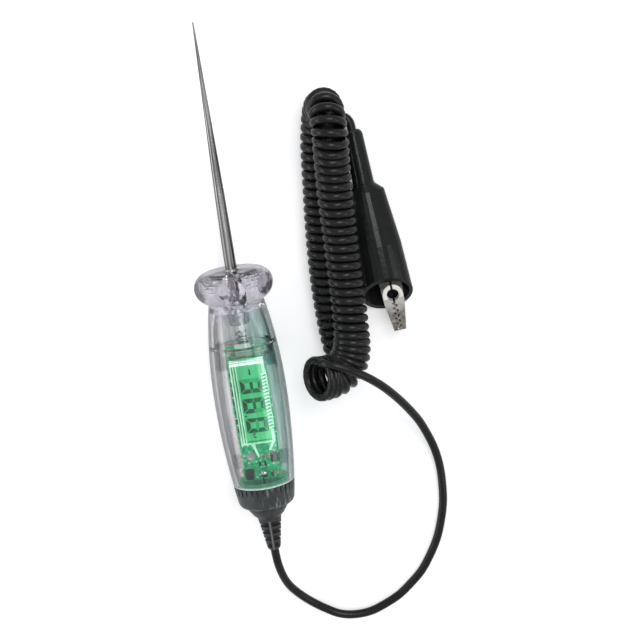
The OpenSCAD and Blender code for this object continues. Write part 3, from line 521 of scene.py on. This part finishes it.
def clear_edges(made, across, guard):
    """Shade of walls that are seen edge on, less of it in the guard apart from the guard's ends."""
    facing = made.facing()
    tube = made.ramp(facing, (0.28, WHITE), (0.5, (0.5, 0.5, 0.51)),
                     (0.62, (0.16, 0.16, 0.17)), (0.8, (0.08, 0.08, 0.09)))
    lobes = made.ramp(facing, (0.4, WHITE), (0.85, (0.6, 0.6, 0.62)))
    ends = made.mix(made.rise(made.gap(across, 0), *GUARD_END_X), WHITE, (0.46, 0.46, 0.48))
    return made.mix(guard, tube, made.mix(1.0, lobes, ends, "MULTIPLY"))


def seam_faces(made, along):
    """One on the two faces that meet at the seam, square to the axis, and nought elsewhere."""
    _, normal_along, _ = made.axes(made.add("NewGeometry").outputs["True Normal"])
    square = made.above(made.gap(normal_along, 0), SQUARE_ON)
    return made.times(made.below(made.gap(along, SEAM_Y), SEAM_REACH), square)


def clear_plastic():
    """Clear moulding with flow lines along it, which is rippled in the guard, and painted streaks of
    reflection along it in its colour.

    Its rear rim has a painted glow of the display's light, and light goes straight through the seam.
    """
    made = Surface("clear_plastic", IOR=1.49, Specular_IOR_Level=0.08, Emission_Color=(0.75, 0.85, 0.8))
    place = made.place()
    across, along, _ = made.axes(place)
    guard = made.rise(along, *GUARD_Y)
    haze = made.noise(place, 0.15, 3.0)
    flow_and_reflection_lines = made.noise(made.place((1, 0.04, 1)), 0.42, 3.0)
    ripple = made.noise(place, 0.3, 2.0)
    # Painted reflection: dark and light streaks along the moulding, from the flow lines' noise
    reflection_streaks = made.ramp(flow_and_reflection_lines, (0.38, grey(0.72)), (0.6, WHITE))
    colour = made.mix(1.0, clear_tint(made, across, along), reflection_streaks, "MULTIPLY")
    colour = made.mix(1.0, colour, clear_edges(made, across, guard), "MULTIPLY")
    # Painted glow of the display's light at the rear rim
    made.plug(
        Base_Color=colour, Transmission_Weight=made.vary(haze, 0.985, 1.0),
        Emission_Strength=made.rise(along, BARREL_Y, BARREL_Y + RIM_LEN, 0.55, 0.0))
    made.rough(haze, 0.03, 0.02)
    made.bump(made.math("ADD", made.times(flow_and_reflection_lines, 0.15), made.times(ripple, guard)), 0.6, 0.6)
    clear = made.blend(seam_faces(made, along), made.shader.outputs["BSDF"], made.transparent())
    shadow = made.transparent((0.84, 0.84, 0.85))
    made.show(made.blend(made.add("LightPath").outputs["Is Shadow Ray"], clear, shadow))
    return made


def turned_steel():
    """Ground steel with painted streaks of reflection along it, and painted shade towards its outline."""
    made = Surface("turned_steel", Metallic=1.0)
    reflection_streaks = made.noise(made.place((1, 0.01, 1)), 0.7, 3.0)
    rings = made.noise(made.place((0.02, 1, 0.02)), 3.0, 3.0)
    wear = made.noise(made.place((1, 0.1, 1)), 0.4)
    # Painted reflection: dark and bright streaks along the needle
    steel_and_painted_light = made.ramp(
        reflection_streaks, (0.38, (0.10, 0.098, 0.096)), (0.52, (0.2, 0.198, 0.195)), (0.66, (0.55, 0.545, 0.54)))
    # Painted shade towards the needle's outline
    outline_shade = made.ramp(made.facing(), (0.1, WHITE), (0.6, grey(0.4)))
    made.plug(Base_Color=made.mix(1.0, steel_and_painted_light, outline_shade, "MULTIPLY"))
    made.rough(wear, 0.28, 0.08)
    made.bump(rings, 0.01)
    return made


def spring_steel():
    """Drawn wire, with a painted glow where it stands in the nose's clear sleeve."""
    made = Surface("spring_steel", Metallic=1.0)
    place = made.place()
    _, along, _ = made.axes(place)
    wear = made.noise(place, 1.0)
    sleeve_glow = made.rise(along, *SLEEVE_Y)
    # Painted glow: near white and emitting where the wire stands in the sleeve
    steel_and_painted_light = made.mix(sleeve_glow, made.tones(wear, grey(0.14), grey(0.5)), grey(0.95))
    made.plug(Base_Color=steel_and_painted_light, Emission_Strength=made.times(sleeve_glow, 0.35))
    made.rough(wear, 0.25, 0.05)
    return made


def cap_plastic():
    """Dark moulding with scuffs along it, and a painted green glow in front where it faces the board."""
    made = Surface("cap_plastic", Specular_IOR_Level=0.35, Emission_Color=(0.03, 0.24, 0.12))
    place = made.place()
    _, along, _ = made.axes(place)
    fine = made.noise(place, 1.0, 2.0)
    dark = made.tones(made.noise(place, 0.25), (0.024, 0.028, 0.028), (0.04, 0.046, 0.046))
    scuffs = made.ramp(
        made.noise(made.place((1, 0.03, 1)), 0.9, 2.0), (0.58, BLACK), (0.74, (0.16, 0.17, 0.17)))
    # Painted green glow inside the cap near the board, and over all of the cap ahead of the barrel's rear
    # end
    inside = made.below(made.distance(place, made.point(0, along, AXIS_H)), CAP_INSIDE_R)
    painted_glow = made.times(inside, made.rise(along, *CAP_GLOW_Y))
    made.plug(
        Base_Color=made.mix(1.0, dark, scuffs, "ADD"),
        Emission_Strength=made.math("MAXIMUM", painted_glow, made.above(along, BARREL_Y)))
    made.rough(fine, 0.36)
    made.bump(fine, 0.03)
    return made


def relief_rubber():
    """Black rubber with a painted highlight, a pale line along its middle behind its flange."""
    made = Surface("relief_rubber", Specular_IOR_Level=0.35)
    place = made.place()
    across, along, _ = made.axes(place)
    fine = made.noise(place, 1.6, 2.0)
    black = made.tones(made.noise(place, 0.4), (0.02, 0.021, 0.022), (0.034, 0.035, 0.036))
    # Painted highlight: a pale line along the middle of the relief
    middle = made.rise(made.gap(across, 0), *SPINE_HIGHLIGHT_X, 0.75, 0.0)
    line = made.times(middle, made.below(along, RELIEF_Y))
    made.plug(Base_Color=made.mix(line, black, (0.17, 0.175, 0.18)))
    made.rough(fine, 0.42)
    made.bump(fine, 0.03)
    return made


def solder_resist():
    """Green board with tinned pads and fine tracks, and a painted glow of the display's light."""
    # Painted glow: the board emits its own colour
    made = Surface("solder_resist", Emission_Strength=0.35)
    place = made.place()
    cloud = made.noise(place, 0.4, 3.0)
    green = made.tones(cloud, (0.004, 0.24, 0.09), (0.012, 0.40, 0.16))
    squares = made.cells(place, 0.85, distance="CHEBYCHEV")
    borders = made.cells(place, 0.33, feature="DISTANCE_TO_EDGE")
    chance, _, _ = made.axes(squares["Color"])
    pads = made.times(made.above(chance, 0.62), made.below(squares["Distance"], 0.26))
    tracks = made.below(borders["Distance"], 0.05)
    colour = made.mix(tracks, green, (0.05, 0.52, 0.26))
    colour = made.mix(pads, colour, (0.62, 0.8, 0.66))
    made.plug(Base_Color=colour, Emission_Color=colour)
    made.rough(cloud, 0.3)
    made.bump(made.math("ADD", pads, tracks), 0.05)
    return made


def clouded(made, place, value, *stops):
    """Colour that follows a value, which a soft cloud shifts a little."""
    cloud = made.vary(made.noise(place, 0.25, 2.0), -0.12, 0.12)
    return made.ramp(made.math("ADD", value, cloud), *stops)


def lit_material(name, strength, *stops, axis=1, span=GLASS_Y):
    """Glowing surface whose colour runs along one axis of the part."""
    made = Surface(name, Roughness=0.25, Specular_IOR_Level=0.05, Emission_Strength=strength)
    place = made.place()
    colour = clouded(made, place, made.rise(made.axes(place)[axis], *span), *stops)
    made.plug(Base_Color=colour, Emission_Color=colour)
    return made


def lit_frame():
    """Moulded tray that glows along its ribs, and most along the top of its front bar."""
    made = Surface("lit_frame", Roughness=0.25, Specular_IOR_Level=0.05)
    place = made.place()
    _, along, up = made.axes(place)
    ribs = clouded(made, place, made.rise(up, FRAME_LOW, FRAME_HIGH),
                   (0.0, (0.01, 0.26, 0.10)), (0.35, (0.05, 0.42, 0.18)), (0.8, (0.5, 0.82, 0.62)))
    bar = made.times(made.above(along, FRONT_BAR_Y), made.above(up, FRONT_BAR_LOW))
    colour = made.mix(bar, ribs, (0.9, 1.0, 0.95))
    made.plug(Base_Color=colour, Emission_Color=colour, Emission_Strength=made.rise(bar, 0, 1, 0.62, 1.0))
    return made


def clip_place(made):
    """Millimetres in the clip's own frame, which lies turned on the table."""
    mapping = made.add("Mapping")
    mapping.vector_type = "TEXTURE"
    mapping.inputs["Location"].default_value = [v * MM for v in CLIP_PLACE]
    mapping.inputs["Rotation"].default_value = [math.radians(v) for v in CLIP_TURN]
    mapping.inputs["Scale"].default_value = (MM, MM, MM)
    made.join(made.add("TexCoord").outputs["Object"], mapping.inputs["Vector"])
    return mapping.outputs["Vector"]


def bite(made, along):
    """Where the jaws meet across the clip: a zigzag along the teeth, and its middle behind them."""
    half = TOOTH_PITCH / 2
    zigzag = made.math("PINGPONG", made.math("SUBTRACT", along, BITE_START), half)
    edge = made.math("SUBTRACT", made.times(zigzag, TOOTH_H / half), TOOTH_H / 2)
    return made.times(edge, made.below(along, BITE_END))


def clip_plating():
    """Plated sheet with painted shade along the jaws' cut edges where they meet, painted highlights
    before and round its eye, and painted shade in the boot.
    """
    made = Surface("clip_plating", Metallic=1.0)
    place = clip_place(made)
    across, along, _ = made.axes(place)
    fine = made.noise(place, 2.2, 2.0)
    plating = made.ramp(
        made.noise(place, 0.5, 3.0), (0.35, (0.10, 0.092, 0.08)), (0.65, (0.26, 0.24, 0.215)))
    # Painted highlight on the jaws before the eye
    highlight_before_eye = made.times(made.rise(along, *HIGHLIGHT_Y, 0.0, 0.7), made.below(along, EYE_Y))
    plating = made.mix(highlight_before_eye, plating, (0.5, 0.48, 0.44))
    off_eye = made.distance(made.point(across, along, 0), (0, EYE_Y, 0))
    # Painted highlight round the eye's rim
    eye_rim_highlight = made.times(made.below(off_eye, EYE_RIM_R), made.above(along, EYE_RIM_FRONT))
    # Painted shade on the jaws inside the boot, apart from the eye's rim
    boot_shade = made.math("SUBTRACT", made.rise(along, *BOOT_SHADE_Y, 0.0, 0.85), eye_rim_highlight)
    plating = made.mix(boot_shade, plating, (0.03, 0.028, 0.026))
    plating = made.mix(eye_rim_highlight, plating, (0.66, 0.63, 0.58))
    # Painted shade along the zigzag gap where the jaws meet
    bite_shade = made.rise(made.gap(across, bite(made, along)), *BITE_SHADE_REACH, 1.0, 0.0)
    made.plug(Base_Color=made.mix(bite_shade, plating, (0.012, 0.011, 0.01)))
    made.rough(fine, 0.4, 0.08)
    made.bump(fine, 0.03)
    return made


def dress(surface, *things):
    """Gives one surface to nodes by name, or to pieces."""
    for thing in things:
        piece = nodes[thing] if isinstance(thing, str) else thing
        if piece.material_slots:
            for slot in piece.material_slots:
                slot.material = surface.material
        else:
            piece.data.materials.append(surface.material)


def dress_handle():
    dress(clear_plastic(), "nose_shell", "barrel_shell")
    dress(turned_steel(), "probe_needle")
    dress(
        patterned("plated_insert", grey(0.12), grey(0.95), roughness=0.28, scale=0.7, depth=0.02,
                  stretch=(1, 0.05, 1), Metallic=1.0),
        "probe_insert")
    dress(spring_steel(), "contact_spring")
    dress(cap_plastic(), "end_cap")
    dress(relief_rubber(), "strain_relief")


def dress_lead(cord, relief_core):
    dress(
        patterned("cord_rubber", (0.005, 0.005, 0.0055), (0.009, 0.009, 0.0095),
                  roughness=0.28, scale=0.3, depth=0.01, Specular_IOR_Level=0.25),
        cord, relief_core, "cord_tail", "clip_wire")
    dress(
        patterned("boot_vinyl", (0.006, 0.0065, 0.0065), (0.01, 0.011, 0.011),
                  roughness=0.16, scale=0.12, depth=0.04, spread=0.05, Specular_IOR_Level=0.22),
        "clip_boot")
    dress(clip_plating(), "clip_fixed_jaw", "clip_moving_jaw", "clip_pivot_pin")
    dress(
        patterned("spring_wire", grey(0.14), grey(0.5),
                  roughness=0.25, scale=1.0, depth=0.01, Metallic=1.0),
        "clip_spring")


def dress_board():
    dress(solder_resist(), "circuit_board")
    dress(
        patterned("white_terminal", (0.6, 0.72, 0.62), (0.8, 0.88, 0.8),
                  roughness=0.35, scale=0.5, depth=0.02),
        "spring_cup")
    dress(
        patterned("tin", (0.7, 0.74, 0.7), (0.9, 0.92, 0.9),
                  roughness=0.25, scale=1.2, depth=0.05, Metallic=1.0),
        "solder_joint", "ring_capacitor")
    dress(
        patterned("moulded_chip", (0.012, 0.016, 0.014), (0.03, 0.036, 0.033),
                  roughness=0.5, scale=1.5, depth=0.02),
        "controller_chip", "regulator_chip", "chip_resistors")
    dress(
        patterned("ceramic_chip", (0.36, 0.28, 0.16), (0.5, 0.4, 0.26),
                  roughness=0.45, scale=1.5, depth=0.02),
        "chip_capacitors")
    dress(
        patterned("lamp_lens", (0.75, 0.7, 0.62), (0.9, 0.86, 0.8),
                  roughness=0.15, scale=1.0, depth=0.01),
        "indicator_leds")


def dress_display():
    field = [(0.0, (0.10, 0.60, 0.24)), (0.5, (0.06, 0.52, 0.18)), (1.0, (0.10, 0.58, 0.26))]
    panel = [(0.0, (0.10, 0.55, 0.24)), (1.0, (0.2, 0.7, 0.36))]
    pale = [(0.0, (0.6, 0.9, 0.72)), (1.0, (0.85, 0.97, 0.9))]
    dark = [(0.0, (0.0, 0.06, 0.03)), (1.0, (0.004, 0.2, 0.09))]
    faint = [(0.0, (0.02, 0.36, 0.12)), (1.0, (0.02, 0.42, 0.15))]
    dress(lit_material("lit_glass", 0.46, *field), "display_glass")
    dress(lit_material("lit_panel", 0.5, *panel), "display_panel")
    dress(lit_frame(), "display_frame")
    dress(lit_material("lit_pins", 0.5, *pale), "display_pins", "panel_legs")
    dress(lit_material("dark_segments", 0.3, *dark, axis=0, span=DIGIT_X), "display_digits")
    dress(lit_material("faint_segments", 0.5, *faint, axis=0, span=DIGIT_X), "display_ghosts")


def add_floor():
    """Pale paper that looks white, also through the clear shells, and keeps the shadows."""
    mesh = bpy.data.meshes.new("floor")
    half = FLOOR_SIZE / 2
    corners = [(-half, -half, 0), (half, -half, 0), (half, half, 0), (-half, half, 0)]
    mesh.from_pydata(corners, [], [(0, 1, 2, 3)])
    floor = link(bpy.data.objects.new("floor", mesh))
    floor.location.z = -FLOOR_DROP
    paper = Surface("floor_paper", Roughness=0.9, Specular_IOR_Level=0.0, Base_Color=grey(0.8),
                    Emission_Color=WHITE)
    rays = paper.add("LightPath").outputs
    seen = paper.math("MAXIMUM", rays["Is Camera Ray"], rays["Is Transmission Ray"])
    paper.plug(Emission_Strength=paper.times(seen, FLOOR_LIFT))
    mesh.materials.append(paper.material)


def add_world():
    """Cool light from all round, which the camera sees as plain white."""
    world = bpy.data.worlds.new("studio")
    world.use_nodes = True
    scene.world = world
    tree = world.node_tree
    ground = tree.nodes["Background"]
    ground.inputs["Color"].default_value = (0.96, 0.97, 1.0, 1)
    ground.inputs["Strength"].default_value = WORLD_STRENGTH
    white = tree.nodes.new("ShaderNodeBackground")
    white.inputs["Color"].default_value = (1, 1, 1, 1)
    path = tree.nodes.new("ShaderNodeLightPath")
    mix = tree.nodes.new("ShaderNodeMixShader")
    tree.links.new(path.outputs["Is Camera Ray"], mix.inputs["Fac"])
    tree.links.new(ground.outputs["Background"], mix.inputs[1])
    tree.links.new(white.outputs["Background"], mix.inputs[2])
    tree.links.new(mix.outputs["Shader"], tree.nodes["World Output"].inputs["Surface"])


def add_softbox(name, place, target, size, power):
    data = bpy.data.lights.new(name, "AREA")
    data.shape = "RECTANGLE"
    data.size, data.size_y = size
    data.energy = power
    light = link(bpy.data.objects.new(name, data))
    light.location = place
    aim = Vector(target) - Vector(place)
    light.rotation_euler = aim.to_track_quat("-Z", "Y").to_euler()


add_camera()
cord = add_cord()
relief_core = add_relief_core()

dress_handle()
dress_lead(cord, relief_core)
dress_board()
dress_display()

add_floor()
add_world()
for softbox in SOFTBOXES:
    add_softbox(*softbox)
